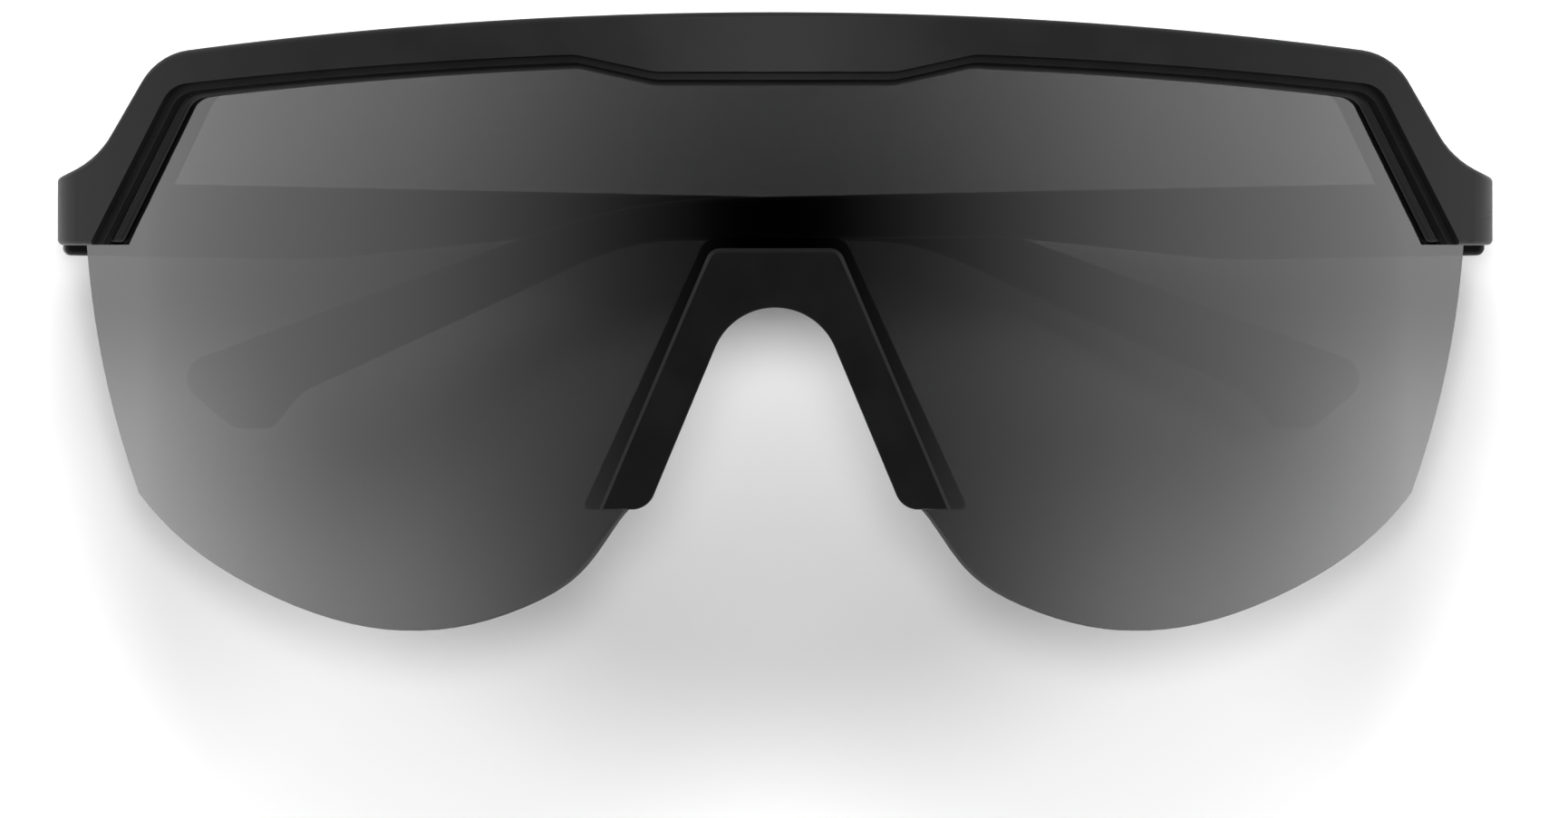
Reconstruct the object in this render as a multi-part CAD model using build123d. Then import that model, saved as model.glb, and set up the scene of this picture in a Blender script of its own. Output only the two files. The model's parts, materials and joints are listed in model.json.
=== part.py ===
from build123d import *
import math
import os

# Wraparound sport sunglasses: one cylindrical shield lens under a moulded brow frame,
# a nose clip on the lens cut-out, and two folding temples. Drawn folded.
# Millimetres. +Z is up, the front faces -Y, +X is the wearer's left.
# The origin is the crest of the nose arch, on the foremost line of the lens.
# Outlines are drawn as seen from the front, as (x, z), for the wearer's left half.

# Driving dimensions
half_width = 73.0            # centre to the outer side of a lug
lens_radius = 90.0           # front surface of the lens, about an upright axis
lens_thickness = 2.0
frame_proud = 2.6            # frame face ahead of the lens surface
frame_behind = 2.0           # frame rear ahead of the lens rear surface
lug_rear = 41.0              # rear face of the lugs
lug_bottom = 6.5
lug_top = 13.25
hinge_inset = 5.0            # lug side to hinge axis
hinge_setback = 4.5          # lug rear face to hinge axis
fit_gap = 0.05               # play between parts that sit together
beyond = 60.0                # longer than any part: cutters and blanks reach this far
outer_side = -1              # the wearer's right temple lies outside the left one
outer_lag = 5.0              # degrees by which the outer folded temple lies open

# Brow frame
brow_crest = 29.8
shoulder = (62.6, 25.8)      # where the top arc turns down
neck = (68.8, 15.25)         # where the slope turns out to the lug
shoulder_round = 6.5
neck_round = 9.0
lug_turn = 8.0               # roundness from the frame face to the lug side
lug_inner = 65.4
lug_depth = 14.0             # from the rear face of a lug forwards, into the band
face_edge_round = 0.55

# Rim opening, drawn on the frame face
rim_centre = 23.0            # height of the flat middle of the opening
rim_step_inner = 12.2
rim_step_outer = 20.2
rim_crest = 25.1
rim_arc = 580.0              # radius of the long top edge of the opening
rim_side_low = (68.87, lug_bottom)
rim_side_lean = 1.924        # rise over run of the side edge
ledge_width = 0.8            # shallow step round the opening
ledge_depth = 0.8
lens_hold = 1.3              # lens hidden above the opening

# Lens edge, drawn on its front surface
lens_corner_x = 61.1
lens_side = (70.0, lug_bottom)
lens_side_middle = (68.25, -6.0)
lens_low_corner = (64.6, -18.7)
lens_lobe = ((61.2, -22.5), (51.0, -29.1), (36.3, -32.6), (25.3, -30.0), (19.6, -26.3), (15.4, -20.7))
lens_notch_end = -16.0       # where the lobe runs into the straight side of the nose notch

# Gasket
gasket_lip = 0.65            # seen inside the opening
gasket_root = 0.9            # hidden in the frame
gasket_height = 0.9          # standing on the lens
gasket_end = 6.7             # height of its two lower ends

# Nose
arch_radius = 6.54
leg_lean = math.radians(22.6)     # nose legs from upright
nose_foot = -20.35
web_wall = 1.1               # clip wall inside the lens cut-out
flange_thickness = 1.2
flange_edge_bevel = 0.4
nose_edge_round = 0.15
flange_top = (6.5, 6.0)
flange_foot = 17.75
carrier_thickness = 1.4
carrier_top = (7.0, 7.1)
carrier_foot = 19.5
carrier_round = 2.0
foot_inner_round = 2.4
foot_outer_round = 0.5
flange_round = 1.5
pad_middle = (11.2, 4.6, -11.0)   # on the rear face of the wearer's left leg
pad_flare = math.radians(20)
pad_length = 17.0
pad_depth = 7.5
pad_thickness = 2.2
pad_round = 3.2
pad_start = 0.5              # gap from the leg to the pad
pad_edge_flat = 0.3          # flat left on the pad's rounded edge
stem_thickness = 0.8
stem_width = 6.0
stem_length = pad_length - 6.0
stem_reach = 4.5             # from the leg into the pad
stem_round = 1.5

# Hinge levels and radii
knuckle_radius = 2.2
knuckle_relief = 0.3
lower_knuckle = (6.6, 8.3)
middle_knuckle = (8.5, 10.8)
upper_knuckle = (11.0, 13.1)
screw_radius = 0.7
screw_head_radius = 1.25
screw_head_height = 0.6
screw_sink = 0.1             # head below the knuckle face, and clearance around it
driver_slot = 0.3
driver_margin = 0.35         # metal left between the slot's end and the head's rim
bush_radius = 1.15
insert_depth = 1.5
washer_radius = 2.0
washer_gap = 0.02
web_outboard = 1.1           # frame knuckle web, from the hinge axis
web_overlap = 0.5            # knuckle web sunk into the lug

# Temple, drawn from its hinge axis as (distance along, z) and (distance along, y)
arm_front = -4.4
arm_outer = 4.9              # outer face from the hinge axis
arm_corners = (              # side outline, each corner with its radius
    ((arm_front, 5.5), 0.8), ((22.0, 5.0), 60), ((44.0, 7.35), 60), ((82.9, 6.9), 25),
    ((116.3, -8.5), 4), ((119.3, -12.2), 1.6), ((123.2, -12.2), 2.5), ((130.2, -6.3), 2.3),
    ((83.2, 11.2), 60), ((arm_front, 13.0), 0.8))
arm_inner = 1.5
waist = 44.0                 # distance along where the arm gets thin
waist_inner = 2.1
arm_bend = 84.0              # start of the ear bend
ear_turn = math.radians(7.0)      # inward turn behind the bend
bend_round = 80.0            # of the arm's faces where they turn inwards
arm_edge_round = 0.6
grip_start = 90.0
grip_inner = 1.5
grip_outer = 5.3
grip_wall = 0.9
grip_edge_round = 1.0
past_tip = 140.0             # beyond the end of the ear grip
tongue_end = 124.0
tongue_inner = 2.4
tongue_outer = 4.6
core_radius = 0.5
core_ends = ((91.0, 5.75), (121.0, -6.75))

frame_radius = lens_radius + frame_proud
inner_radius = lens_radius - lens_thickness
rear_radius = inner_radius - frame_behind
hinge_x = half_width - hinge_inset
hinge_y = lug_rear + hinge_setback


# ---- helpers ----

def both_sides(points):
    """A closed outline from one half, mirrored in x."""
    return points + [(-x, z) for x, z in reversed(points)]


def round_corners(outline, corners):
    """Rounds an outline at each (x, z) and at its mirror image."""
    for (x, z), radius in corners:
        picked = [v for v in outline.vertices() if math.dist((abs(v.X), v.Y), (x, z)) < 0.05]
        outline = fillet(picked, radius)
    return outline


def front_prism(outline, near=-beyond, far=lens_radius / 2):
    """A front outline pushed straight back from y = near to y = far."""
    return extrude(Plane.XZ.offset(-near) * outline, amount=near - far)


def curved_plate(outline, drawn_radius, outer_radius, inner_radius):
    """A plate bent about the lens axis, with edges square to its curved faces."""
    widened = scale(outline, by=(outer_radius / drawn_radius, 1, 1))
    drum = Pos(0, lens_radius, -beyond) * Solid.make_cylinder(outer_radius, 2 * beyond)
    skin = drum.faces().filter_by(GeomType.CYLINDER)[0]
    trimmed = skin & front_prism(widened)
    return Solid.thicken(trimmed.faces()[0], inner_radius - outer_radius)


def curved_shell(outer_radius, inner_radius):
    """The space between two upright cylinders about the lens axis."""
    ring = Circle(outer_radius) - Circle(inner_radius)
    return Pos(0, lens_radius, -beyond) * extrude(ring, amount=2 * beyond)


def rim_height(x, lift=0.0):
    """Height of the opening's long top edge at x."""
    return rim_crest + lift - rim_arc + math.sqrt(rim_arc**2 - x**2)


def upright_rod(radius, low, high, x=0.0, y=0.0):
    return Pos(x, y, low) * Solid.make_cylinder(radius, high - low)


# ---- outlines seen from the front ----

def brow_outline():
    left = [(-x, z) for x, z in (shoulder, neck, (half_width, lug_top), (half_width, lug_bottom))]
    right = [(-x, z) for x, z in reversed(left)]
    top = ThreePointArc(left[0], (0, brow_crest), (shoulder[0], shoulder[1]))
    outline = make_face([top, Polyline(*left, *right)])
    return round_corners(outline, [(shoulder, shoulder_round), (neck, neck_round)])


def rim_outline(lift=0.0, side_shift=0.0, low=-6.0, corner_round=3.0):
    """The opening of the frame, grown by lift upwards and by side_shift sideways."""
    side_x = rim_side_low[0] + side_shift
    corner_x = 60.0
    for _ in range(20):
        corner_x = side_x - (rim_height(corner_x, lift) - rim_side_low[1]) / rim_side_lean
    corner = (corner_x, rim_height(corner_x, lift))
    outer_kink = (rim_step_outer, rim_height(rim_step_outer, lift))
    inner_kink = (rim_step_inner, rim_centre + lift)
    foot_x = side_x + (lug_bottom - low) / rim_side_lean
    right_arc = ThreePointArc(
        outer_kink, (40.0, rim_height(40.0, lift)), corner)
    left_arc = mirror(right_arc, about=Plane.YZ)
    rest = Polyline(corner, (foot_x, low), (-foot_x, low), (-corner[0], corner[1]))
    middle = Polyline(
        (-outer_kink[0], outer_kink[1]), (-inner_kink[0], inner_kink[1]), inner_kink, outer_kink)
    outline = make_face([right_arc, rest, left_arc, middle])
    return round_corners(
        outline, [(corner, corner_round), (outer_kink, 5.0), (inner_kink, 5.0)])


def leg_x(z, wall=0.0):
    """x of the straight inner edge of a nose leg, moved outwards by a wall."""
    start_x = (arch_radius + wall) * math.cos(leg_lean)
    start_z = -arch_radius + (arch_radius + wall) * math.sin(leg_lean)
    return start_x + (start_z - z) * math.tan(leg_lean)


def arch_end(wall=0.0):
    """Where the nose arch runs into the straight leg."""
    z = -arch_radius + (arch_radius + wall) * math.sin(leg_lean)
    return ((arch_radius + wall) * math.cos(leg_lean), z)


def lens_outline(play=0.0):
    lift = lens_hold + play
    corner = (lens_corner_x + play, rim_height(lens_corner_x, lift))
    side = (lens_side[0] + play, lens_side[1])
    side_middle = (lens_side_middle[0] + play, lens_side_middle[1])
    notch_end = (leg_x(lens_notch_end, web_wall), lens_notch_end)
    half = [
        Polyline((0, rim_centre + lift), (rim_step_inner, rim_centre + lift),
                 (rim_step_outer, rim_height(rim_step_outer, lift))),
        ThreePointArc((rim_step_outer, rim_height(rim_step_outer, lift)),
                      (40.0, rim_height(40.0, lift)), corner),
        Line(corner, side),
        ThreePointArc(side, side_middle, lens_low_corner),
        Spline(lens_low_corner, *lens_lobe, notch_end,
               tangents=[(-0.6, -0.8), (-math.sin(leg_lean), math.cos(leg_lean))]),
        Line(notch_end, arch_end(web_wall)),
    ]
    crown = ThreePointArc(arch_end(web_wall), (0, web_wall),
                          (-arch_end(web_wall)[0], arch_end(web_wall)[1]))
    return make_face(half + [crown] + [mirror(piece, about=Plane.YZ) for piece in half])


def under_arch(wall=0.0):
    """The space between the nose legs, up to the arch, grown by a wall."""
    end = arch_end(wall)
    crown = ThreePointArc(end, (0, wall), (-end[0], end[1]))
    foot = (leg_x(2 * nose_foot, wall), 2 * nose_foot)
    return make_face([crown, Polyline(end, foot, (-foot[0], foot[1]), (-end[0], end[1]))])


def nose_plate():
    """The carrier: a tapered plate over the nose with two legs left by the arch."""
    foot = (carrier_foot, nose_foot)
    plate = make_face(Polyline(*both_sides([foot, carrier_top]), close=True)) - under_arch()
    inner_foot = (leg_x(nose_foot), nose_foot)
    corners = [(carrier_top, carrier_round), (inner_foot, foot_inner_round), (foot, foot_outer_round)]
    return round_corners(plate, corners)


def flange_area():
    """The tapered front of the clip, continued below its foot."""
    slope = (flange_foot - flange_top[0]) / (flange_top[1] - nose_foot)
    low = 2 * nose_foot
    foot = (flange_top[0] + (flange_top[1] - low) * slope, low)
    area = make_face(Polyline(*both_sides([foot, flange_top]), close=True))
    return round_corners(area, [(flange_top, flange_round)])


# ---- front parts ----

def frame_blank():
    """The curved band and its two lugs, before the opening is cut."""
    disc = Pos(0, lens_radius) * Circle(frame_radius)
    slab = Rectangle(2 * half_width, 2 * beyond, align=(Align.CENTER, Align.MAX))
    plan = disc & Pos(0, lug_rear) * slab
    turn_y = lens_radius - math.sqrt(frame_radius**2 - half_width**2)
    plan = round_corners(plan, [((half_width, turn_y), lug_turn)])
    band_plan = plan - Pos(0, lens_radius) * Circle(rear_radius)
    lug_block = Rectangle(half_width - lug_inner, lug_depth, align=(Align.MIN, Align.MAX))
    lug_plan = plan & (Pos(lug_inner, lug_rear) * lug_block + Pos(-half_width, lug_rear) * lug_block)
    whole = front_prism(brow_outline(), far=lug_rear)
    band = extrude(band_plan, amount=brow_crest + 1) & whole
    lugs = extrude(lug_plan, amount=lug_top) & whole
    return band + lugs


def brow_frame():
    frame = frame_blank()
    face_edges = [e for e in frame.edges() if is_at_radius(e, frame_radius) and not on_lug_turn(e)]
    frame = fillet(face_edges, face_edge_round)
    frame -= curved_plate(rim_outline(), frame_radius, frame_radius + 1, rear_radius - 4)
    frame -= curved_plate(rim_outline(ledge_width, ledge_width), frame_radius,
                          frame_radius + 1, frame_radius - ledge_depth)
    frame -= curved_plate(lens_outline(fit_gap), lens_radius,
                          lens_radius + fit_gap, inner_radius - fit_gap)
    frame -= gasket_blank(fit_gap)
    for side in (-1, 1):
        frame += frame_knuckles(side)
        frame -= hinge_bores(side)
    return frame


def is_at_radius(edge, radius):
    """Whether an edge lies on the cylinder of that radius about the lens axis."""
    middle = edge @ 0.5
    return abs(math.hypot(middle.X, middle.Y - lens_radius) - radius) < 0.01


def on_lug_turn(edge):
    return edge.bounding_box().size.X < 0.01


def gasket_outline(play=0.0):
    grown = gasket_root + play
    ring = rim_outline(grown, grown) - rim_outline(-gasket_lip, -gasket_lip)
    above = Pos(0, gasket_end) * Rectangle(4 * half_width, beyond, align=(Align.CENTER, Align.MIN))
    return ring & above


def gasket_blank(play=0.0):
    return curved_plate(rim_outline(gasket_root + play, gasket_root + play), frame_radius,
                        lens_radius + gasket_height + play, lens_radius - play)


def lens_gasket():
    return curved_plate(gasket_outline(), frame_radius,
                        lens_radius + gasket_height, lens_radius + fit_gap / 2)


def shield_lens():
    return curved_plate(lens_outline(), lens_radius, lens_radius, inner_radius)


def pad_plane(side):
    """x down the nose leg, y backwards and outwards, from the middle of the pad's root."""
    leg = Vector(side * math.sin(leg_lean), 0, -math.cos(leg_lean))
    back = Vector(side * math.sin(pad_flare), math.cos(pad_flare), 0)
    back = back - leg * back.dot(leg)
    root = Vector(side * pad_middle[0], pad_middle[1], pad_middle[2])
    return Plane(origin=root, x_dir=leg, z_dir=leg.cross(back))


def pad_stem(side):
    blade = Pos(0, stem_reach - stem_width / 2) * RectangleRounded(stem_length, stem_width, stem_round)
    return pad_plane(side) * extrude(blade, amount=stem_thickness / 2, both=True)


def on_taper(edge):
    """Whether an edge lies on the tapered outline of the flange, away from the arch and the feet."""
    middle = edge @ 0.5
    if middle.Z < nose_foot + fit_gap:
        return False
    return middle.Z > web_wall or abs(middle.X) > leg_x(middle.Z, web_wall)


def nose_clip():
    """One moulding: a flange ahead of the lens and a carrier behind it, with a web between."""
    face_radius = lens_radius + flange_thickness
    back_radius = inner_radius - fit_gap - carrier_thickness
    around = Rectangle(2 * beyond, 2 * beyond)
    clip = curved_shell(face_radius, back_radius) & front_prism(nose_plate())
    beside_flange = front_prism(around - flange_area())
    clip -= curved_shell(face_radius + 1, lens_radius) & beside_flange
    clip -= curved_plate(around - under_arch(web_wall - fit_gap), lens_radius,
                         lens_radius + fit_gap, inner_radius - fit_gap)
    clip = chamfer([e for e in clip.edges() if is_at_radius(e, face_radius) and on_taper(e)],
                   flange_edge_bevel)
    clip = fillet([e for e in clip.edges() if is_at_radius(e, face_radius) and not on_taper(e)],
                  nose_edge_round)
    return clip + pad_stem(-1) + pad_stem(1)


def nose_pad(side):
    blade = Pos(0, pad_start + pad_depth / 2) * RectangleRounded(pad_length, pad_depth, pad_round)
    pad = extrude(blade, amount=pad_thickness / 2, both=True)
    pad = fillet(pad.edges().filter_by(Plane.XY), (pad_thickness - pad_edge_flat) / 2)
    return pad_plane(side) * pad - pad_stem(side)


# ---- hinges ----

def at_hinge(side):
    return Pos(side * hinge_x, hinge_y, 0)


def frame_knuckles(side):
    """The lower and upper knuckles behind a lug, each with its web."""
    width = knuckle_radius + web_outboard
    middle = side * (web_outboard - knuckle_radius) / 2
    knuckles = []
    for low, high in (lower_knuckle, upper_knuckle):
        web = Pos(middle, -hinge_setback - web_overlap, low) * Box(
            width, hinge_setback + web_overlap, high - low, align=(Align.CENTER, Align.MIN, Align.MIN))
        knuckles.append(web + upright_rod(knuckle_radius, low, high))
    return at_hinge(side) * (knuckles[0] + knuckles[1])


def hinge_bores(side):
    """Head recess and clearance hole below, insert pocket above."""
    seat = lower_knuckle[0] + screw_head_height + screw_sink
    bores = upright_rod(screw_head_radius + screw_sink, 0, seat)
    bores += upright_rod(screw_radius + fit_gap, 0, lower_knuckle[1] + 1)
    bores += upright_rod(bush_radius, upper_knuckle[0] - 1, upper_knuckle[0] + insert_depth)
    return at_hinge(side) * bores


def hinge_screw(side):
    bottom = lower_knuckle[0] + screw_sink
    top = upper_knuckle[0] + insert_depth - screw_sink
    head = upright_rod(screw_head_radius, bottom, bottom + screw_head_height)
    shank = upright_rod(screw_radius, bottom, top)
    slot_length = 2 * (screw_head_radius - driver_margin)
    slot = Box(slot_length, driver_slot, screw_head_height)
    slot += Box(driver_slot, slot_length, screw_head_height)
    return at_hinge(side) * (head + shank - Pos(0, 0, bottom) * slot)


def hinge_insert(side):
    low = upper_knuckle[0]
    ring = upright_rod(bush_radius, low, low + insert_depth) - upright_rod(screw_radius, 0, beyond)
    return at_hinge(side) * ring


# ---- temples, drawn along +X from the hinge axis ----

def arm_side():
    """The whole arm from its side, as (distance along, z)."""
    outline = make_face(Polyline(*[point for point, _ in arm_corners], close=True))
    for point, radius in arm_corners:
        picked = [v for v in outline.vertices() if math.dist((v.X, v.Y), point) < 0.05]
        outline = fillet(picked, radius)
    return outline


def plan_band(root_inner, inner, outer, start, end):
    """The arm from above between two depths; it turns inwards behind the bend."""
    fall = (end - arm_bend) * math.tan(ear_turn)
    first_fall = max(0, start - arm_bend) * math.tan(ear_turn)
    points = [(start, root_inner - first_fall)]
    if start < arm_bend:
        points += [(waist, inner), (arm_bend, inner)]
    points += [(end, inner - fall), (end, outer - fall)]
    if start < arm_bend:
        points += [(arm_bend, outer)]
    points += [(start, outer - first_fall)]
    band = make_face(Polyline(*points, close=True))
    bends = [v for v in band.vertices() if abs(v.X - arm_bend) < 0.01]
    return fillet(bends, bend_round) if bends else band


def arm_slice(side_outline, plan_outline, start, end):
    """The solid with that side view and plan, between two distances along."""
    side_prism = extrude(Plane.XZ.offset(beyond) * side_outline, amount=-2 * beyond)
    plan_prism = Pos(0, 0, -beyond) * extrude(plan_outline, amount=2 * beyond)
    keep = Pos(start, 0, 0) * Box(
        end - start, 2 * beyond, 2 * beyond, align=(Align.MIN, Align.CENTER, Align.CENTER))
    return side_prism & plan_prism & keep


def core_rod():
    """The bendable wire along the middle of the ear end."""
    ends = []
    for along, z in core_ends:
        fall = (along - arm_bend) * math.tan(ear_turn)
        ends.append(Vector(along, (tongue_inner + tongue_outer) / 2 - fall, z))
    direction = ends[1] - ends[0]
    return Plane(origin=ends[0], z_dir=direction) * Solid.make_cylinder(core_radius, direction.length)


def arm_tongue():
    inset = offset(arm_side(), -grip_wall)
    plan = plan_band(tongue_inner, tongue_inner, tongue_outer, grip_start, tongue_end)
    return arm_slice(inset, plan, grip_start, tongue_end)


def local_arm():
    plan = plan_band(arm_inner, waist_inner, arm_outer, arm_front, grip_start)
    arm = arm_slice(arm_side(), plan, arm_front, grip_start)
    long_edges = [e for e in arm.edges() if (e @ 0.5).X < grip_start - 0.1]
    arm = fillet([e for e in long_edges if (e @ 0.5).X > arm_front + 0.1], arm_edge_round)
    arm += arm_tongue()
    low, high = middle_knuckle
    for level in ((lower_knuckle[0] - knuckle_relief, low), (high, beyond)):
        arm -= upright_rod(knuckle_radius + knuckle_relief, *level)
    web = Pos(0, 0, low) * Box(
        2 * knuckle_radius, arm_inner + 1, high - low, align=(Align.CENTER, Align.MIN, Align.MIN))
    arm += web + upright_rod(knuckle_radius, low, high)
    return arm - upright_rod(bush_radius, low - 1, high + 1) - core_rod()


def local_grip():
    plan = plan_band(grip_inner, grip_inner, grip_outer, grip_start, past_tip)
    grip = arm_slice(arm_side(), plan, grip_start, past_tip)
    outer_edges = [e for e in grip.edges() if (e @ 0.5).X > grip_start + 0.1]
    return fillet(outer_edges, grip_edge_round) - arm_tongue()


def local_bush():
    return upright_rod(bush_radius, *middle_knuckle) - upright_rod(screw_radius + fit_gap, 0, beyond)


def local_washers():
    lower = upright_rod(washer_radius, lower_knuckle[1] + washer_gap, middle_knuckle[0] - washer_gap)
    upper = upright_rod(washer_radius, middle_knuckle[1] + washer_gap, upper_knuckle[0] - washer_gap)
    return lower + upper - upright_rod(screw_radius + fit_gap, 0, beyond)


def on_side(side, part):
    """Moves a temple part from the hinge axis to its folded place on one side."""
    if side > 0:
        part = mirror(part, about=Plane.YZ)
    lag = outer_lag if side == outer_side else 0
    return at_hinge(side) * Rot(0, 0, -side * lag) * part


# ---- write the parts ----

os.makedirs("parts", exist_ok=True)
parts = {
    "brow_frame": brow_frame(),
    "lens_gasket": lens_gasket(),
    "shield_lens": shield_lens(),
    "nose_clip": nose_clip(),
}
temple_parts = {
    "temple_arm": local_arm(),
    "ear_grip": local_grip(),
    "core_wire": core_rod(),
    "hinge_bush": local_bush(),
    "hinge_washers": local_washers(),
}
for side, wearer_side in ((-1, "right"), (1, "left")):
    parts[f"nose_pad_{wearer_side}"] = nose_pad(side)
    parts[f"hinge_screw_{wearer_side}"] = hinge_screw(side)
    parts[f"hinge_insert_{wearer_side}"] = hinge_insert(side)
    for name, part in temple_parts.items():
        parts[f"{name}_{wearer_side}"] = on_side(side, part)
for name, part in parts.items():
    export_step(part, f"parts/{name}.step")
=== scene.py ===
"""Wraparound sport sunglasses: finishes, soft parts, stage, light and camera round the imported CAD."""

import json
import math

import bmesh
import bpy
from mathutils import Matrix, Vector


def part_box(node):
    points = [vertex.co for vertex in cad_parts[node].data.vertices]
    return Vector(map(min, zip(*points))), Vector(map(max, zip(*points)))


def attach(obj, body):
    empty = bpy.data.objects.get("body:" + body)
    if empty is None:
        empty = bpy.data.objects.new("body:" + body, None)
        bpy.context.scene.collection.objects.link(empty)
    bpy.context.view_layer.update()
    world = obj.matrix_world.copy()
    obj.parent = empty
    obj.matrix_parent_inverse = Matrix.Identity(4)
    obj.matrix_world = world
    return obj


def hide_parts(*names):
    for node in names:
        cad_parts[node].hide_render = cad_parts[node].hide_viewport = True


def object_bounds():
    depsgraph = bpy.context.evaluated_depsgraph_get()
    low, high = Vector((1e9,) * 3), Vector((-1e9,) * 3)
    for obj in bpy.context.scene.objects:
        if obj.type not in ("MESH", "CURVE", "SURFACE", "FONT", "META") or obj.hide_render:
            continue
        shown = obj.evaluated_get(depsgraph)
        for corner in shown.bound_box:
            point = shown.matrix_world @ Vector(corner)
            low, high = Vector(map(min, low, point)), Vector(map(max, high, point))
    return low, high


mm = 0.001
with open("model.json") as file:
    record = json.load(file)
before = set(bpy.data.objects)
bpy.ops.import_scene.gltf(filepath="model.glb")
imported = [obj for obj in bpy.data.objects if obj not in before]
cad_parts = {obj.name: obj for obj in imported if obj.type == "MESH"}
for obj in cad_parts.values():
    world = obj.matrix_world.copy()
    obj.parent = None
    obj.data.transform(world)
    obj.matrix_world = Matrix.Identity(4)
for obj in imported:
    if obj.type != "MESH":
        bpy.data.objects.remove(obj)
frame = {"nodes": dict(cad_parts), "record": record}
cad_low, cad_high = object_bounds()
nodes = frame["nodes"]
mounts = {mount["name"]: mount for mount in frame["record"]["mounts"]}
wearer_sides = {"right": -1, "left": 1}     # the wearer's side and the sign of x there

# ---- driving values ----

lens_radius = 90.0 * mm          # lens front, about an upright axis behind the bridge
face_radius = 92.6 * mm          # frame face, about the same axis
ledge_radius = face_radius - 0.8 * mm
ledge_half_width = 70 * mm       # the ledge ends here, before the lugs
lens_axis = Vector((0, lens_radius, 0))

# Rim opening, drawn on the frame face as (x, z) from the bridge
rim_middle = 23.0 * mm           # height of its flat middle
rim_steps = (12.2 * mm, 20.2 * mm)
rim_crest = 25.1 * mm
rim_arc = 580.0 * mm             # radius of its long top edge
rim_side_low = (68.87 * mm, 6.5 * mm)
rim_side_lean = 1.924            # rise over run of its side
rim_kink_round = 5.0 * mm
rim_corner_round = 3.0 * mm
rim_arc_points = 12              # along one half of the top edge
rim_arc_gaps = (3.0 * mm, 4.0 * mm)  # left for the rounds at its two ends
gasket_foot = 6.7 * mm           # height of the gasket's two ends
gasket_root = 0.88 * mm          # hidden under the frame
gasket_bead = 0.31 * mm          # radius of the bead seen in the opening
gasket_taper = 0.7 * mm          # rounded length at each end
gasket_end_share = 0.25          # of its width, left at the very end
gasket_step = 0.25 * mm

# Nose pads: x down the leg, y back from it
leg_lean = math.radians(22.6)
pad_flare = math.radians(20)
pad_root = (11.2 * mm, 4.6 * mm, -11.0 * mm)
pad_centre = 4.25 * mm           # from the leg to the middle of the blade
pad_half_length = 8.5 * mm
pad_half_depth = 3.75 * mm
pad_half_thickness = 1.1 * mm
pad_squareness = 0.72            # one for an ellipse, less for a squarer outline
pad_crown = 3.2                  # power of the crown: more is flatter, with a tighter rim
pad_rib_pitch = 1.3 * mm
pad_rib_depth = 0.10 * mm
pad_rib_reach = 0.86             # the ribs fade out at this share of the blade
pad_grid = (28, 84)              # faces across and along

# Ear grips: distances along the grip from its middle
grip_voxel = 0.22 * mm
grip_rib_pitch = 2.1 * mm
grip_rib_depth = 0.22 * mm
grip_ribs = (-13.0 * mm, 12.5 * mm)
grip_rib_run_out = 1.5 * mm      # over which the ribs rise at each end
grip_rib_half_height = 2.5 * mm
grip_rib_side_run_out = 0.7 * mm

# Camera
camera_distance = 3.6            # metres; long enough to draw the front almost without perspective
camera_aim_depth = 20 * mm       # behind the bridge, where the picture's width is measured
picture_fill = 0.919             # share of the picture's width that the object takes
picture_shift = 0.9 * mm         # middle of the picture, right of the bridge
picture_drop = 10.2 * mm         # and below it
sensor_width = 36.0              # millimetres

# Stage: cards as (name, tone, cosines from the normal where they start to show and show fully)
stage_reach = 1.2                # metres
backdrop_gap = 0.6 * mm          # behind the folded temples, as a table under the glasses
floor_card = ("floor_card", 0.85, 0.012, 0.04)
backdrop_card = ("backdrop_card", 0.85, 0.90, 0.985)

# Lamps: degrees to the wearer's left, degrees up, width in metres, power
light_distance = 2.2             # metres
lamps = {
    "key": (0, 3, 0.3, 14.5),
    "upper": (0, 30, 0.8, 7.4),
    "overhead": (0, 45, 0.9, 26.0),
    "side_right": (-40, 12, 0.8, 15.2),
    "side_left": (40, 12, 0.8, 15.2),
    "brow_sheen": (0, 14, 0.4, 13.0),
}

# What the glasses mirror: (degrees from straight ahead, brightness)
mirrored_room = ((11, 0.0), (28, 0.13), (47, 0.38), (70, 0.62), (88, 0.85), (101, 1.3), (125, 1.25))
room_fill = 0.43                 # brightness that lights the matt surfaces


# ---- small node helpers ----

def node(tree, kind, inputs=None, **settings):
    """Adds a shader node. Inputs maps a socket's name or number to a value or to an output."""
    made = tree.nodes.new("ShaderNode" + kind)
    for name, value in settings.items():
        setattr(made, name, value)
    for socket, value in (inputs or {}).items():
        if isinstance(value, bpy.types.NodeSocket):
            tree.links.new(value, made.inputs[socket])
        else:
            made.inputs[socket].default_value = value
    return made


def maths(tree, operation, *values):
    return node(tree, "Math", dict(enumerate(values)), operation=operation).outputs[0]


def product(tree, *values):
    """All the values multiplied together."""
    result = values[0]
    for value in values[1:]:
        result = maths(tree, "MULTIPLY", result, value)
    return result


def total(tree, *values):
    """All the values added up."""
    result = values[0]
    for value in values[1:]:
        result = maths(tree, "ADD", result, value)
    return result


def vector_maths(tree, operation, *values):
    made = node(tree, "VectorMath", dict(enumerate(values)), operation=operation)
    gives_number = operation in ("DOT_PRODUCT", "LENGTH")
    return made.outputs["Value" if gives_number else "Vector"]


def ramp(tree, value, low, high, start=0.0, end=1.0):
    """Start below low, end above high, smooth in between."""
    sockets = {0: value, 1: low, 2: high, 3: start, 4: end}
    return node(tree, "MapRange", sockets, interpolation_type="SMOOTHSTEP").outputs[0]


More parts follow.
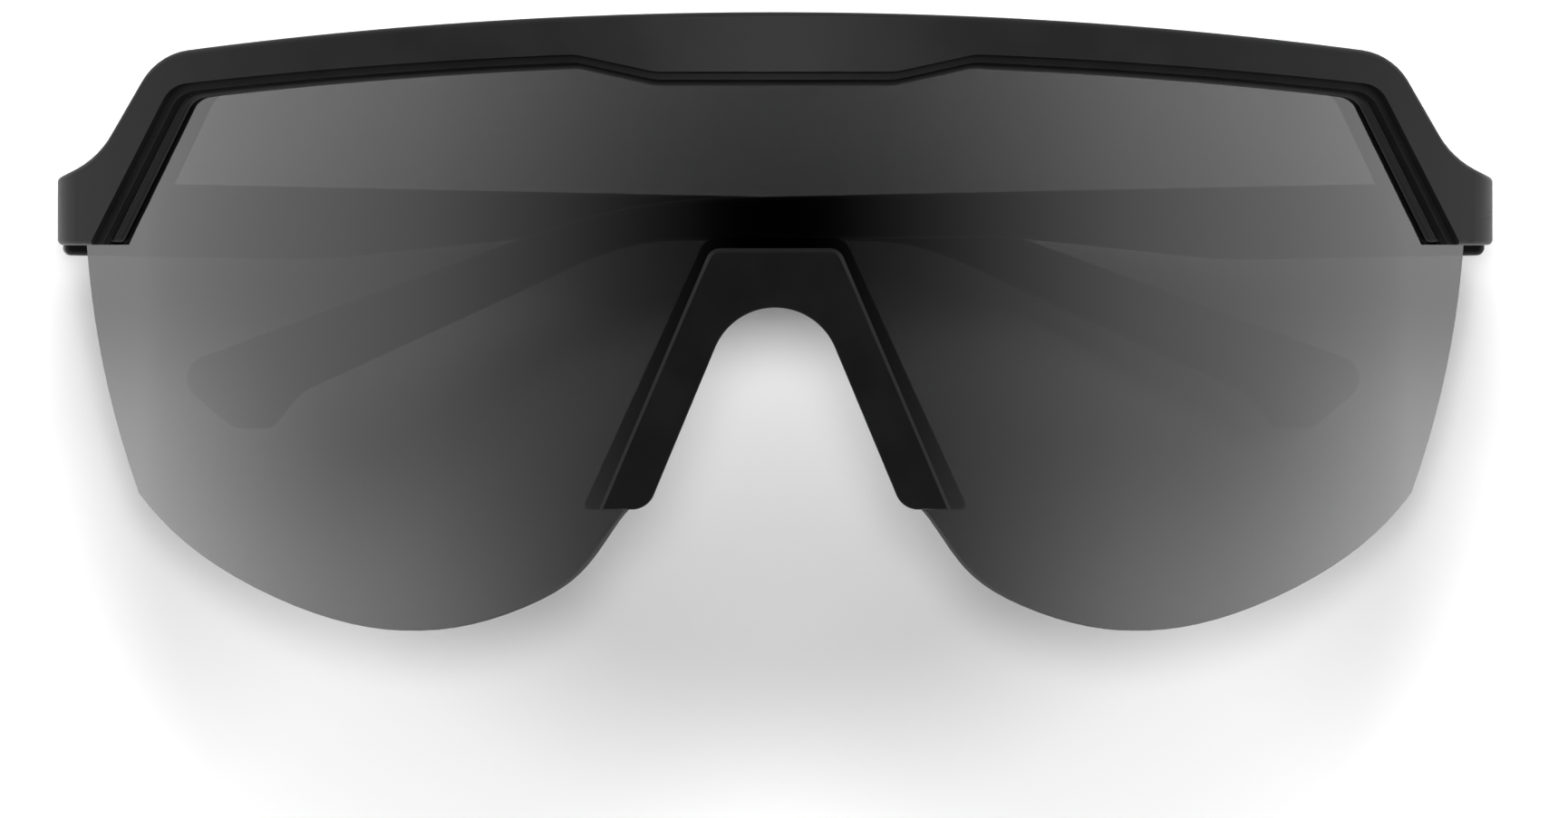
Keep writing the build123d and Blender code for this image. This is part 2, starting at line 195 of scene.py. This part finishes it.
def noise(tree, size, detail=2.0, stretch=(1, 1, 1)):
    """Noise whose features are about size metres wide; stretch lengthens them along an axis."""
    place = node(tree, "TexCoord").outputs["Object"]
    squeeze = Vector((1 / stretch[0], 1 / stretch[1], 1 / stretch[2]))
    place = vector_maths(tree, "MULTIPLY", place, squeeze)
    inputs = {"Vector": place, "Scale": 1 / size, "Detail": detail, "Roughness": 0.5}
    return node(tree, "TexNoise", inputs).outputs[0]


def bump(tree, height, depth, normal=None):
    inputs = {"Height": height, "Distance": depth, "Strength": 1.0}
    if normal is not None:
        inputs["Normal"] = normal
    return node(tree, "Bump", inputs).outputs[0]


def edge_mask(tree, radius):
    """One on edges sharper than the radius, zero on flat and gently curved faces."""
    rounded = node(tree, "Bevel", {"Radius": radius}, samples=6).outputs[0]
    straight = node(tree, "NewGeometry").outputs["Normal"]
    alike = vector_maths(tree, "DOT_PRODUCT", rounded, straight)
    return ramp(tree, alike, 0.80, 0.985, 1.0, 0.0)


def mix_colour(tree, share, first, second):
    made = node(tree, "Mix", {0: share, 6: first, 7: second}, data_type="RGBA")
    return made.outputs[2]


def grey(level, tint=0.0):
    """A neutral colour; a positive tint makes it bluer."""
    return (level * (1 - tint), level, level * (1 + tint), 1)


def material(name):
    made = bpy.data.materials.new(name)
    made.use_nodes = True
    made.node_tree.nodes.clear()
    return made


def finish_surface(tree, shader):
    node(tree, "OutputMaterial", {"Surface": shader})


# ---- finishes ----

def rim_ledge(tree):
    """One on the sunken ledge round the lens opening, zero on the rest of the frame."""
    place = node(tree, "TexCoord").outputs["Object"]
    from_axis = vector_maths(tree, "SUBTRACT", place, lens_axis)
    radius = vector_maths(tree, "LENGTH", vector_maths(tree, "MULTIPLY", from_axis, Vector((1, 1, 0))))
    off_ledge = maths(tree, "ABSOLUTE", maths(tree, "SUBTRACT", radius, ledge_radius))
    sideways = maths(tree, "ABSOLUTE", node(tree, "SeparateXYZ", {0: place}).outputs[0])
    return product(tree, ramp(tree, off_ledge, 0.1 * mm, 0.3 * mm, 1.0, 0.0),
                   ramp(tree, sideways, ledge_half_width, ledge_half_width + 0.5 * mm, 1.0, 0.0))


def moulded_plastic(name, level, roughness, specular, grain, shine_kept_in_ledge_shade=1.0):
    """Satin nylon: fine mould grain, faint flow mottling, edges lighter and smoother,
    partly as wear and partly as painted highlight. The rim ledge keeps only part of
    the shine, as painted shade in its recess."""
    made = material(name)
    tree = made.node_tree
    mottle = noise(tree, 6 * mm, 3.0)
    fine = noise(tree, grain)
    scuffs = noise(tree, 0.25 * mm, 3.0, stretch=(14, 14, 1))
    # Lighter edges: partly rubbed wear, partly painted highlight for light caught by rounded edges.
    wear_and_edge_highlight = product(tree, edge_mask(tree, 0.3 * mm), ramp(tree, mottle, 0.35, 0.65, 0.3, 1.0))
    base = mix_colour(tree, ramp(tree, mottle, 0.3, 0.7), grey(level * 0.85), grey(level * 1.15, 0.02))
    base = mix_colour(tree, product(tree, wear_and_edge_highlight, 0.5), base, grey(level * 2.4))
    rough = ramp(tree, mottle, 0.3, 0.7, roughness - 0.03, roughness + 0.03)
    rough = maths(tree, "SUBTRACT", rough, product(tree, wear_and_edge_highlight, 0.10))
    rough = total(tree, rough, ramp(tree, scuffs, 0.62, 0.72, 0.0, 0.05))
    normal = bump(tree, fine, 0.006 * mm)
    normal = bump(tree, mottle, 0.02 * mm, normal)
    # Less shine on the rim ledge: painted shade, standing in for the shade inside the recess.
    shine = ramp(tree, rim_ledge(tree), 0.0, 1.0, specular, specular * shine_kept_in_ledge_shade)
    inputs = {"Base Color": base, "Roughness": rough, "Specular IOR Level": shine, "Normal": normal}
    finish_surface(tree, node(tree, "BsdfPrincipled", inputs).outputs[0])
    return made


def soft_rubber(name, level, roughness, grain):
    """Matt elastomer: dull, mottled at random, edges lighter and a little smoother,
    partly as wear and partly as painted highlight.
    """
    made = material(name)
    tree = made.node_tree
    mottle = noise(tree, 3 * mm, 4.0)
    fine = noise(tree, grain)
    wear_and_edge_highlight = product(tree, edge_mask(tree, 0.4 * mm), mottle)
    base = mix_colour(tree, ramp(tree, mottle, 0.3, 0.7), grey(level * 0.8), grey(level * 1.25))
    # Lighter edges: partly wear, partly painted highlight.
    base = mix_colour(tree, product(tree, wear_and_edge_highlight, 0.4), base, grey(level * 2.0))
    rough = ramp(tree, mottle, 0.3, 0.7, roughness - 0.05, roughness + 0.05)
    rough = maths(tree, "SUBTRACT", rough, product(tree, wear_and_edge_highlight, 0.15))
    inputs = {"Base Color": base, "Roughness": rough, "Specular IOR Level": 0.35,
              "Sheen Weight": 0.08, "Sheen Roughness": 0.5,
              "Normal": bump(tree, fine, 0.008 * mm)}
    finish_surface(tree, node(tree, "BsdfPrincipled", inputs).outputs[0])
    return made


def turned_metal(name, colour, roughness):
    """Small turned parts: fine rings round the upright axis, darker in the tool marks."""
    made = material(name)
    tree = made.node_tree
    rings = noise(tree, 0.06 * mm, stretch=(12, 12, 1))
    stain = noise(tree, 0.8 * mm, 3.0)
    dark = tuple(channel * 0.7 for channel in colour) + (1,)
    base = mix_colour(tree, ramp(tree, stain, 0.35, 0.7), colour + (1,), dark)
    rough = ramp(tree, rings, 0.3, 0.7, roughness - 0.06, roughness + 0.08)
    inputs = {"Base Color": base, "Metallic": 1.0, "Roughness": rough,
              "Normal": bump(tree, rings, 0.002 * mm)}
    finish_surface(tree, node(tree, "BsdfPrincipled", inputs).outputs[0])
    return made


def natural_nylon(name):
    """Cream bearing nylon, faintly translucent."""
    made = material(name)
    tree = made.node_tree
    cloud = noise(tree, 0.7 * mm, 3.0)
    base = mix_colour(tree, cloud, (0.70, 0.67, 0.58, 1), (0.80, 0.78, 0.72, 1))
    inputs = {"Base Color": base, "Roughness": ramp(tree, cloud, 0.3, 0.7, 0.38, 0.5),
              "Subsurface Weight": 0.15, "Subsurface Scale": 0.3 * mm,
              "Normal": bump(tree, noise(tree, 0.1 * mm), 0.002 * mm)}
    finish_surface(tree, node(tree, "BsdfPrincipled", inputs).outputs[0])
    return made


def lens_shape(tree):
    """A mask that is one on the two broad faces and zero on the cut edge, and the exact normal
    of the lens cylinder there. The edge keeps its own normal."""
    geometry = node(tree, "NewGeometry")
    place = node(tree, "TexCoord").outputs["Object"]
    across = vector_maths(tree, "MULTIPLY", vector_maths(tree, "SUBTRACT", place, lens_axis),
                          Vector((1, 1, 0)))
    radial = vector_maths(tree, "NORMALIZE", across)
    squareness = vector_maths(tree, "DOT_PRODUCT", radial, geometry.outputs["True Normal"])
    broad = ramp(tree, maths(tree, "ABSOLUTE", squareness), 0.8, 0.95)
    sign = maths(tree, "SIGN", squareness)
    outwards = node(tree, "VectorMath", {0: radial, "Scale": sign}, operation="SCALE").outputs[0]
    normal = node(tree, "Mix", {0: broad, 4: geometry.outputs["Normal"], 5: outwards},
                  data_type="VECTOR").outputs[1]
    return broad, normal


def painted_reflection_gain(tree):
    """How much more the lens mirrors than at the middle: towards the top, the foot and the sides.
    This is painted reflection and light rather than a stronger coat: it stands in for the lens
    curving to mirror more of the room near its top and foot, and for brighter light seen
    through its outer lower part.
    """
    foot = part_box("shield_lens")[0].z
    place = node(tree, "SeparateXYZ", {0: node(tree, "TexCoord").outputs["Object"]})
    sideways = maths(tree, "ABSOLUTE", place.outputs[0])
    height = place.outputs[2]
    upper = ramp(tree, height, 4 * mm, 24 * mm, 0.0, 0.08)
    lower = ramp(tree, height, foot, -12 * mm, 0.6, 0.0)
    outer = product(tree, ramp(tree, sideways, 42 * mm, 70 * mm, 0.0, 0.7),
                    ramp(tree, height, -16 * mm, 2 * mm, 1.0, 0.0))
    return total(tree, 1.0, upper, lower, outer)


def lens_mirror(tree, broad, normal):
    """Share of light that the coat reflects: on the outer side of a face, and more at a glance."""
    coat = 0.187                     # straight on, at the middle
    glance = 0.8                     # added at grazing angles
    edge_share = 0.08                # of the coat, left on the cut edge
    geometry = node(tree, "NewGeometry")
    alike = vector_maths(tree, "DOT_PRODUCT", normal, geometry.outputs["Incoming"])
    grazing = maths(tree, "POWER", maths(tree, "SUBTRACT", 1.0, maths(tree, "ABSOLUTE", alike)), 5.0)
    # The gain by position is painted reflection and light, not a thicker coat.
    mirror = total(tree, product(tree, painted_reflection_gain(tree), coat), product(tree, grazing, glance))
    outside = maths(tree, "SUBTRACT", 1.0, geometry.outputs["Backfacing"])
    return product(tree, maths(tree, "MINIMUM", mirror, 1.0), outside,
                   ramp(tree, broad, 0.0, 1.0, edge_share, 1.0))


def smoke_lens(name):
    """Dark tinted shield with a weak mirror coat. Light goes straight through, tinted once at
    each face. Faint smears and upright hairlines roughen the reflection."""
    made = material(name)
    tree = made.node_tree
    passes_to_eye = 0.052            # light seen through both faces
    passes_to_table = 0.035          # and lamp light let through to what lies behind

    smear = noise(tree, 9 * mm, 3.0, stretch=(1, 1, 3))
    hairlines = noise(tree, 0.12 * mm, stretch=(1, 1, 40))
    rough = total(tree, ramp(tree, smear, 0.45, 0.7, 0.02, 0.05),
                  ramp(tree, hairlines, 0.68, 0.75, 0.0, 0.02))
    to_eye = node(tree, "LightPath").outputs["Is Camera Ray"]
    tint = mix_colour(tree, to_eye, grey(math.sqrt(passes_to_table)), grey(math.sqrt(passes_to_eye)))

    broad, normal = lens_shape(tree)
    mirror = lens_mirror(tree, broad, normal)
    through = node(tree, "BsdfTransparent", {"Color": tint}).outputs[0]
    shine = node(tree, "BsdfGlossy", {"Color": grey(1.0), "Roughness": rough, "Normal": normal}).outputs[0]
    finish_surface(tree, node(tree, "MixShader", {0: mirror, 1: through, 2: shine}).outputs[0])
    return made


def paint(names, finish):
    for name in names:
        slots = nodes[name].data.materials
        slots.clear()
        slots.append(finish)


def both_sides(*parts):
    """The node names of parts that come in a right and a left."""
    return [f"{part}_{wearer_side}" for part in parts for wearer_side in wearer_sides]


# ---- soft parts ----

def show_piece(name, mesh, finish, body, stands_for):
    """A smooth piece with one finish, riding on a body in place of a CAD node."""
    mesh.materials.clear()
    mesh.materials.append(finish)
    for face in mesh.polygons:
        face.use_smooth = True
    piece = bpy.data.objects.new(name, mesh)
    bpy.context.scene.collection.objects.link(piece)
    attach(piece, body)
    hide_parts(stands_for)


def mesh_from(name, points, faces):
    mesh = bpy.data.meshes.new(name)
    mesh.from_pydata(points, [], faces)
    mesh.update()
    return mesh


def rim_height(x):
    """Height of the rim opening's long top edge."""
    return rim_crest - rim_arc + math.sqrt(rim_arc**2 - x**2)


def rounded_path(corners, steps=8):
    """Points along a line through (point, radius) corners, each turned with an arc."""
    path = [corners[0][0]]
    for (before, _), (corner, radius), (after, _) in zip(corners, corners[1:], corners[2:]):
        back = (before - corner).normalized()
        ahead = (after - corner).normalized()
        half = back.angle(ahead) / 2
        if radius == 0:
            path.append(corner)
            continue
        reach = radius / math.tan(half)
        centre = corner + (back + ahead).normalized() * radius / math.sin(half)
        start = corner + back * reach - centre
        finish = corner + ahead * reach - centre
        path += [centre + start.slerp(finish, step / steps) * radius for step in range(steps + 1)]
    return path + [corners[-1][0]]


def evenly_spaced(path, spacing):
    """The same line with points at equal distances."""
    lengths = [0.0]
    for first, second in zip(path, path[1:]):
        lengths.append(lengths[-1] + (second - first).length)
    count = max(2, round(lengths[-1] / spacing))
    points = []
    segment = 0
    for index in range(count + 1):
        wanted = lengths[-1] * index / count
        while segment < len(path) - 2 and lengths[segment + 1] < wanted:
            segment += 1
        share = (wanted - lengths[segment]) / (lengths[segment + 1] - lengths[segment])
        points.append(path[segment].lerp(path[segment + 1], share))
    return points


def rim_corner_x():
    """Where the top edge meets the straight side, found by stepping between the two."""
    low_x, low_z = rim_side_low
    corner_x = low_x
    for _ in range(20):
        corner_x = low_x - (rim_height(corner_x) - low_z) / rim_side_lean
    return corner_x


def rim_path():
    """The rim opening from its lower end on the wearer's right to the one on the left."""
    inner, outer = rim_steps
    low_x, low_z = rim_side_low
    corner_x = rim_corner_x()
    arc_start = outer + rim_arc_gaps[0]
    arc_end = corner_x - rim_arc_gaps[1]
    half = [(Vector((inner, rim_middle)), rim_kink_round),
            (Vector((outer, rim_height(outer))), rim_kink_round)]
    for index in range(rim_arc_points):
        x = arc_start + (arc_end - arc_start) * index / (rim_arc_points - 1)
        half.append((Vector((x, rim_height(x))), 0))
    half.append((Vector((corner_x, rim_height(corner_x))), rim_corner_round))
    half.append((Vector((low_x + (low_z - gasket_foot) / rim_side_lean, gasket_foot)), 0))
    mirrored = [(Vector((-point.x, point.y)), radius) for point, radius in reversed(half)]
    return evenly_spaced(rounded_path(mirrored + half), gasket_step)


def above_lens(point, height):
    """A point drawn on the frame face, brought to a height above the lens surface."""
    turn = math.asin(point.x / face_radius)
    radius = lens_radius + height
    return Vector((radius * math.sin(turn), lens_radius - radius * math.cos(turn), point.y))


def gasket_profile():
    """(distance into the opening, height above the lens): a lip, a bead, a valley, the root."""
    underside, root_top = 0.03 * mm, 0.86 * mm
    lip = [(-gasket_root, underside), (0.52 * mm, underside), (0.62 * mm, 0.08 * mm)]
    bead_middle, bead_height = 0.33 * mm, 0.56 * mm
    bead_start, bead_sweep, bead_steps = -30, 200, 9
    bead = []
    for step in range(bead_steps + 1):
        turn = math.radians(bead_start + bead_sweep * step / bead_steps)
        bead.append((bead_middle + gasket_bead * math.cos(turn),
                     bead_height + gasket_bead * math.sin(turn)))
    valley = [(-0.04 * mm, 0.42 * mm), (-0.12 * mm, root_top)]
    return lip + bead + valley + [(-gasket_root, root_top)]


def build_gasket(finish):
    """The rubber seal: one beaded profile swept round the rim opening, with rounded ends."""
    path = rim_path()
    profile = gasket_profile()
    last = len(path) - 1
    points = []
    for index, point in enumerate(path):
        tangent = (path[min(index + 1, last)] - path[max(index - 1, 0)]).normalized()
        inwards = Vector((tangent.y, -tangent.x))
        to_end = min(index, last - index) * gasket_step
        closing = max(0.0, 1 - to_end / gasket_taper)
        width = math.sqrt(1 - closing**2) * (1 - gasket_end_share) + gasket_end_share
        for into, height in profile:
            drawn = point + inwards * (-gasket_root + (into + gasket_root) * width)
            points.append(above_lens(drawn, height))
    around = len(profile)
    faces = [tuple(reversed(range(around))), tuple(last * around + corner for corner in range(around))]
    for ring in range(last):
        for corner in range(around):
            first, second = ring * around + corner, ring * around + (corner + 1) % around
            faces.append((first, second, second + around, first + around))
    show_piece("rim_gasket", mesh_from("rim_gasket", points, faces), finish,
               "front", "lens_gasket")


def pad_axes(side):
    """Root, down-leg, back and thickness directions of a nose pad."""
    root = Vector((side * pad_root[0], pad_root[1], pad_root[2]))
    leg = Vector((side * math.sin(leg_lean), 0, -math.cos(leg_lean)))
    back = Vector((side * math.sin(pad_flare), math.cos(pad_flare), 0))
    back = (back - leg * back.dot(leg)).normalized()
    return root, leg, back, leg.cross(back)


def pad_place(row, column, ribbed):
    """(down, deep, crown) of a point of the pad's grid, which is a square drawn out to a rounded
    blade. Crown is its height over the blade's middle plane."""
    across, along = pad_grid
    s, t = 2 * column / along - 1, 2 * row / across - 1
    p, q = s * math.sqrt(1 - t * t / 2), t * math.sqrt(1 - s * s / 2)
    reach = min(1.0, math.hypot(p, q))
    turn = math.atan2(q, p)
    cos_turn, sin_turn = math.cos(turn), math.sin(turn)
    down = reach * pad_half_length * math.copysign(abs(cos_turn) ** pad_squareness, cos_turn)
    deep = reach * pad_half_depth * math.copysign(abs(sin_turn) ** pad_squareness, sin_turn)
    crown = pad_half_thickness * max(0.0, 1 - reach**pad_crown) ** 0.5
    if ribbed:
        wave = 0.5 - 0.5 * math.cos(2 * math.pi * down / pad_rib_pitch)
        crown -= pad_rib_depth * wave**2 * max(0.0, 1 - (reach / pad_rib_reach) ** 6)
    return down, deep, crown


def build_nose_pad(wearer_side, side, finish):
    """A crowned silicone blade with a rounded rim and fine ribs on the side that touches the nose."""
    root, leg, back, thick = pad_axes(side)
    across, along = pad_grid
    skin_side = -side
    points, faces = [], []
    for face in (1, -1):
        for row in range(across + 1):
            for column in range(along + 1):
                down, deep, crown = pad_place(row, column, ribbed=face == skin_side)
                points.append(root + leg * down + back * (pad_centre + deep) + thick * face * crown)
    size = (across + 1) * (along + 1)
    for row in range(across):
        for column in range(along):
            first = row * (along + 1) + column
            quad = (first, first + 1, first + along + 2, first + along + 1)
            faces.append(quad)
            faces.append(tuple(size + corner for corner in reversed(quad)))
    name = f"nose_pad_blade_{wearer_side}"
    mesh = mesh_from(name, points, faces)
    close_seam(mesh)
    show_piece(name, mesh, finish, "front", f"nose_pad_{wearer_side}")


def close_seam(mesh):
    """Joins two halves where their rims meet and turns every face outwards."""
    cleaned = bmesh.new()
    cleaned.from_mesh(mesh)
    bmesh.ops.remove_doubles(cleaned, verts=cleaned.verts, dist=0.5e-3 * mm)
    bmesh.ops.recalc_face_normals(cleaned, faces=cleaned.faces)
    cleaned.to_mesh(mesh)
    cleaned.free()


def remeshed_copy(node_name, voxel):
    """A CAD node's shape as an even mesh with slightly softened edges."""
    copy = bpy.data.objects.new("remesh", nodes[node_name].data.copy())
    bpy.context.scene.collection.objects.link(copy)
    remesh = copy.modifiers.new("even", "REMESH")
    remesh.mode = "VOXEL"
    remesh.voxel_size = voxel
    remesh.adaptivity = 0.0
    soften = copy.modifiers.new("soften", "SMOOTH")
    soften.factor = 0.5
    soften.iterations = 4
    shown = copy.evaluated_get(bpy.context.evaluated_depsgraph_get())
    mesh = bpy.data.meshes.new_from_object(shown)
    bpy.data.objects.remove(copy)
    return mesh


def fade(value, start, width):
    """Zero at start, one beyond start plus width, smooth in between."""
    share = max(0.0, min(1.0, (value - start) / width))
    return share * share * (3 - 2 * share)


def build_ear_grip(wearer_side, finish):
    """The rubber sleeve on the ear end, with shallow ribs moulded across both broad sides."""
    mesh = remeshed_copy(f"ear_grip_{wearer_side}", grip_voxel)
    mount = mounts[f"ear_tip_{wearer_side}"]
    middle, along = Vector(mount["pos_m"]), Vector(mount["axis"]).normalized()
    thick = along.cross(Vector((0, 0, 1))).normalized()
    upright = along.cross(thick)
    rib_start, rib_end = grip_ribs
    normals = [vertex.normal.copy() for vertex in mesh.vertices]
    for vertex, normal in zip(mesh.vertices, normals):
        offset = vertex.co - middle
        reach = offset.dot(along)
        ribbed = fade(reach, rib_start, grip_rib_run_out) * fade(-reach, -rib_end, grip_rib_run_out)
        ribbed *= fade(-abs(offset.dot(upright)), -grip_rib_half_height, grip_rib_side_run_out)
        ribbed *= fade(abs(normal.dot(thick)), 0.7, 0.2)
        wave = 0.5 - 0.5 * math.cos(2 * math.pi * reach / grip_rib_pitch)
        vertex.co -= normal * grip_rib_depth * ribbed * wave**2
    show_piece(f"grip_sleeve_{wearer_side}", mesh, finish,
               f"temple_{wearer_side}", f"ear_grip_{wearer_side}")


# ---- stage, light and camera ----

def stage_finish(name, tone, shown_from, shown_fully):
    """Matt white card. The camera sees it only from its front, and only when it looks squarely
    enough: shown_from and shown_fully are cosines from its normal."""
    made = material(name)
    tree = made.node_tree
    geometry = node(tree, "NewGeometry")
    facing = vector_maths(tree, "DOT_PRODUCT", geometry.outputs["Normal"], geometry.outputs["Incoming"])
    front = maths(tree, "SUBTRACT", 1.0, geometry.outputs["Backfacing"])
    seen = product(tree, ramp(tree, facing, shown_from, shown_fully), front)
    from_camera = node(tree, "LightPath").outputs["Is Camera Ray"]
    hidden = product(tree, from_camera, maths(tree, "SUBTRACT", 1.0, seen))
    card = node(tree, "BsdfDiffuse", {"Color": grey(tone)}).outputs[0]
    clear = node(tree, "BsdfTransparent").outputs[0]
    finish_surface(tree, node(tree, "MixShader", {0: hidden, 1: card, 2: clear}).outputs[0])
    return made


def stage_plane(name, corners, finish):
    """A card that takes shadows but neither casts them nor lights or mirrors in the glasses."""
    mesh = mesh_from(name, corners, [tuple(range(len(corners)))])
    mesh.materials.append(finish)
    plane = bpy.data.objects.new(name, mesh)
    bpy.context.scene.collection.objects.link(plane)
    plane.visible_shadow = False
    plane.visible_diffuse = False
    plane.visible_glossy = False


def build_stage():
    square = ((-stage_reach, -stage_reach), (stage_reach, -stage_reach),
              (stage_reach, stage_reach), (-stage_reach, stage_reach))
    backdrop_y = cad_high.y + backdrop_gap
    stage_plane("floor", [(x, y, cad_low.z) for x, y in square], stage_finish(*floor_card))
    stage_plane("backdrop", [(x, backdrop_y, z) for x, z in square], stage_finish(*backdrop_card))


def from_front(azimuth, elevation):
    """A place for a lamp: degrees towards the wearer's left and degrees up, seen from the glasses."""
    turn, rise = math.radians(azimuth), math.radians(elevation)
    return light_distance * Vector((math.cos(rise) * math.sin(turn), -math.cos(rise) * math.cos(turn),
                                    math.sin(rise)))


def area_light(name, azimuth, elevation, size, power):
    """A round lamp aimed at the glasses, which don't mirror it."""
    place = from_front(azimuth, elevation)
    aim = (cad_low + cad_high) / 2
    data = bpy.data.lights.new(name, "AREA")
    data.shape = "DISK"
    data.size = size
    data.energy = power
    light = bpy.data.objects.new(name, data)
    light.location = place
    light.rotation_euler = (aim - place).to_track_quat("-Z", "Y").to_euler()
    light.visible_glossy = False
    bpy.context.scene.collection.objects.link(light)
    return light


def build_world():
    """White to the eye, dark ahead of the lens and brighter round to its sides when mirrored."""
    world = bpy.data.worlds.new("studio")
    bpy.context.scene.world = world
    world.use_nodes = True
    tree = world.node_tree
    tree.nodes.clear()
    direction = node(tree, "TexCoord").outputs["Generated"]
    ahead = vector_maths(tree, "DOT_PRODUCT", direction, Vector((0, -1, 0)))
    turn = maths(tree, "DIVIDE", maths(tree, "ARCCOSINE", ahead), math.pi)
    bands = node(tree, "ValToRGB", {0: turn})
    bands.color_ramp.interpolation = "B_SPLINE"
    stops = bands.color_ramp.elements
    for index, (angle, level) in enumerate(mirrored_room):
        stop = stops[index] if index < len(stops) else stops.new(1.0)
        stop.position = angle / 180
        stop.color = grey(level)
    path = node(tree, "LightPath")
    fill = mix_colour(tree, path.outputs["Is Glossy Ray"], grey(room_fill), bands.outputs[0])
    seen = mix_colour(tree, path.outputs["Is Camera Ray"], fill, grey(1.0))
    shade = node(tree, "Background", {"Color": seen, "Strength": 1.0})
    node(tree, "OutputWorld", {"Surface": shade.outputs[0]})


def build_lamps():
    """All the lamps. The brow sheen lights and is mirrored by the brow frame alone."""
    made = {name: area_light(name, *values) for name, values in lamps.items()}
    brow_only = bpy.data.collections.new("brow_only")
    brow_only.objects.link(nodes["brow_frame"])
    made["brow_sheen"].light_linking.receiver_collection = brow_only
    made["brow_sheen"].visible_glossy = True


def build_camera():
    data = bpy.data.cameras.new("camera")
    camera = bpy.data.objects.new("camera", data)
    bpy.context.scene.collection.objects.link(camera)
    picture_width = (cad_high.x - cad_low.x) / picture_fill
    camera.location = (picture_shift, camera_aim_depth - camera_distance, -picture_drop)
    camera.rotation_euler = (math.pi / 2, 0, 0)
    data.sensor_width = sensor_width
    data.lens = sensor_width * camera_distance / picture_width
    data.clip_start = 0.1
    data.clip_end = 20
    bpy.context.scene.camera = camera
    bpy.context.scene.view_settings.view_transform = "Standard"


# ---- put together ----

frame_plastic = moulded_plastic("frame_plastic", level=0.006, roughness=0.43, specular=0.31,
                                grain=0.12 * mm, shine_kept_in_ledge_shade=0.35)
clip_plastic = moulded_plastic("clip_plastic", level=0.004, roughness=0.38, specular=0.33,
                               grain=0.09 * mm)
gasket_rubber = soft_rubber("gasket_rubber", level=0.005, roughness=0.60, grain=0.08 * mm)
pad_rubber = soft_rubber("soft_rubber", level=0.010, roughness=0.65, grain=0.10 * mm)
steel = turned_metal("hinge_steel", (0.55, 0.55, 0.56), roughness=0.30)
brass = turned_metal("brass", (0.78, 0.58, 0.28), roughness=0.28)

paint(["brow_frame"] + both_sides("temple_arm"), frame_plastic)
paint(["nose_clip"], clip_plastic)
paint(["shield_lens"], smoke_lens("smoke_lens"))
paint(both_sides("hinge_screw", "core_wire"), steel)
paint(both_sides("hinge_insert"), brass)
paint(both_sides("hinge_bush", "hinge_washers"), natural_nylon("bearing_nylon"))

build_gasket(gasket_rubber)
for wearer_side, side in wearer_sides.items():
    build_nose_pad(wearer_side, side, pad_rubber)
    build_ear_grip(wearer_side, pad_rubber)

build_stage()
build_world()
build_lamps()
build_camera()
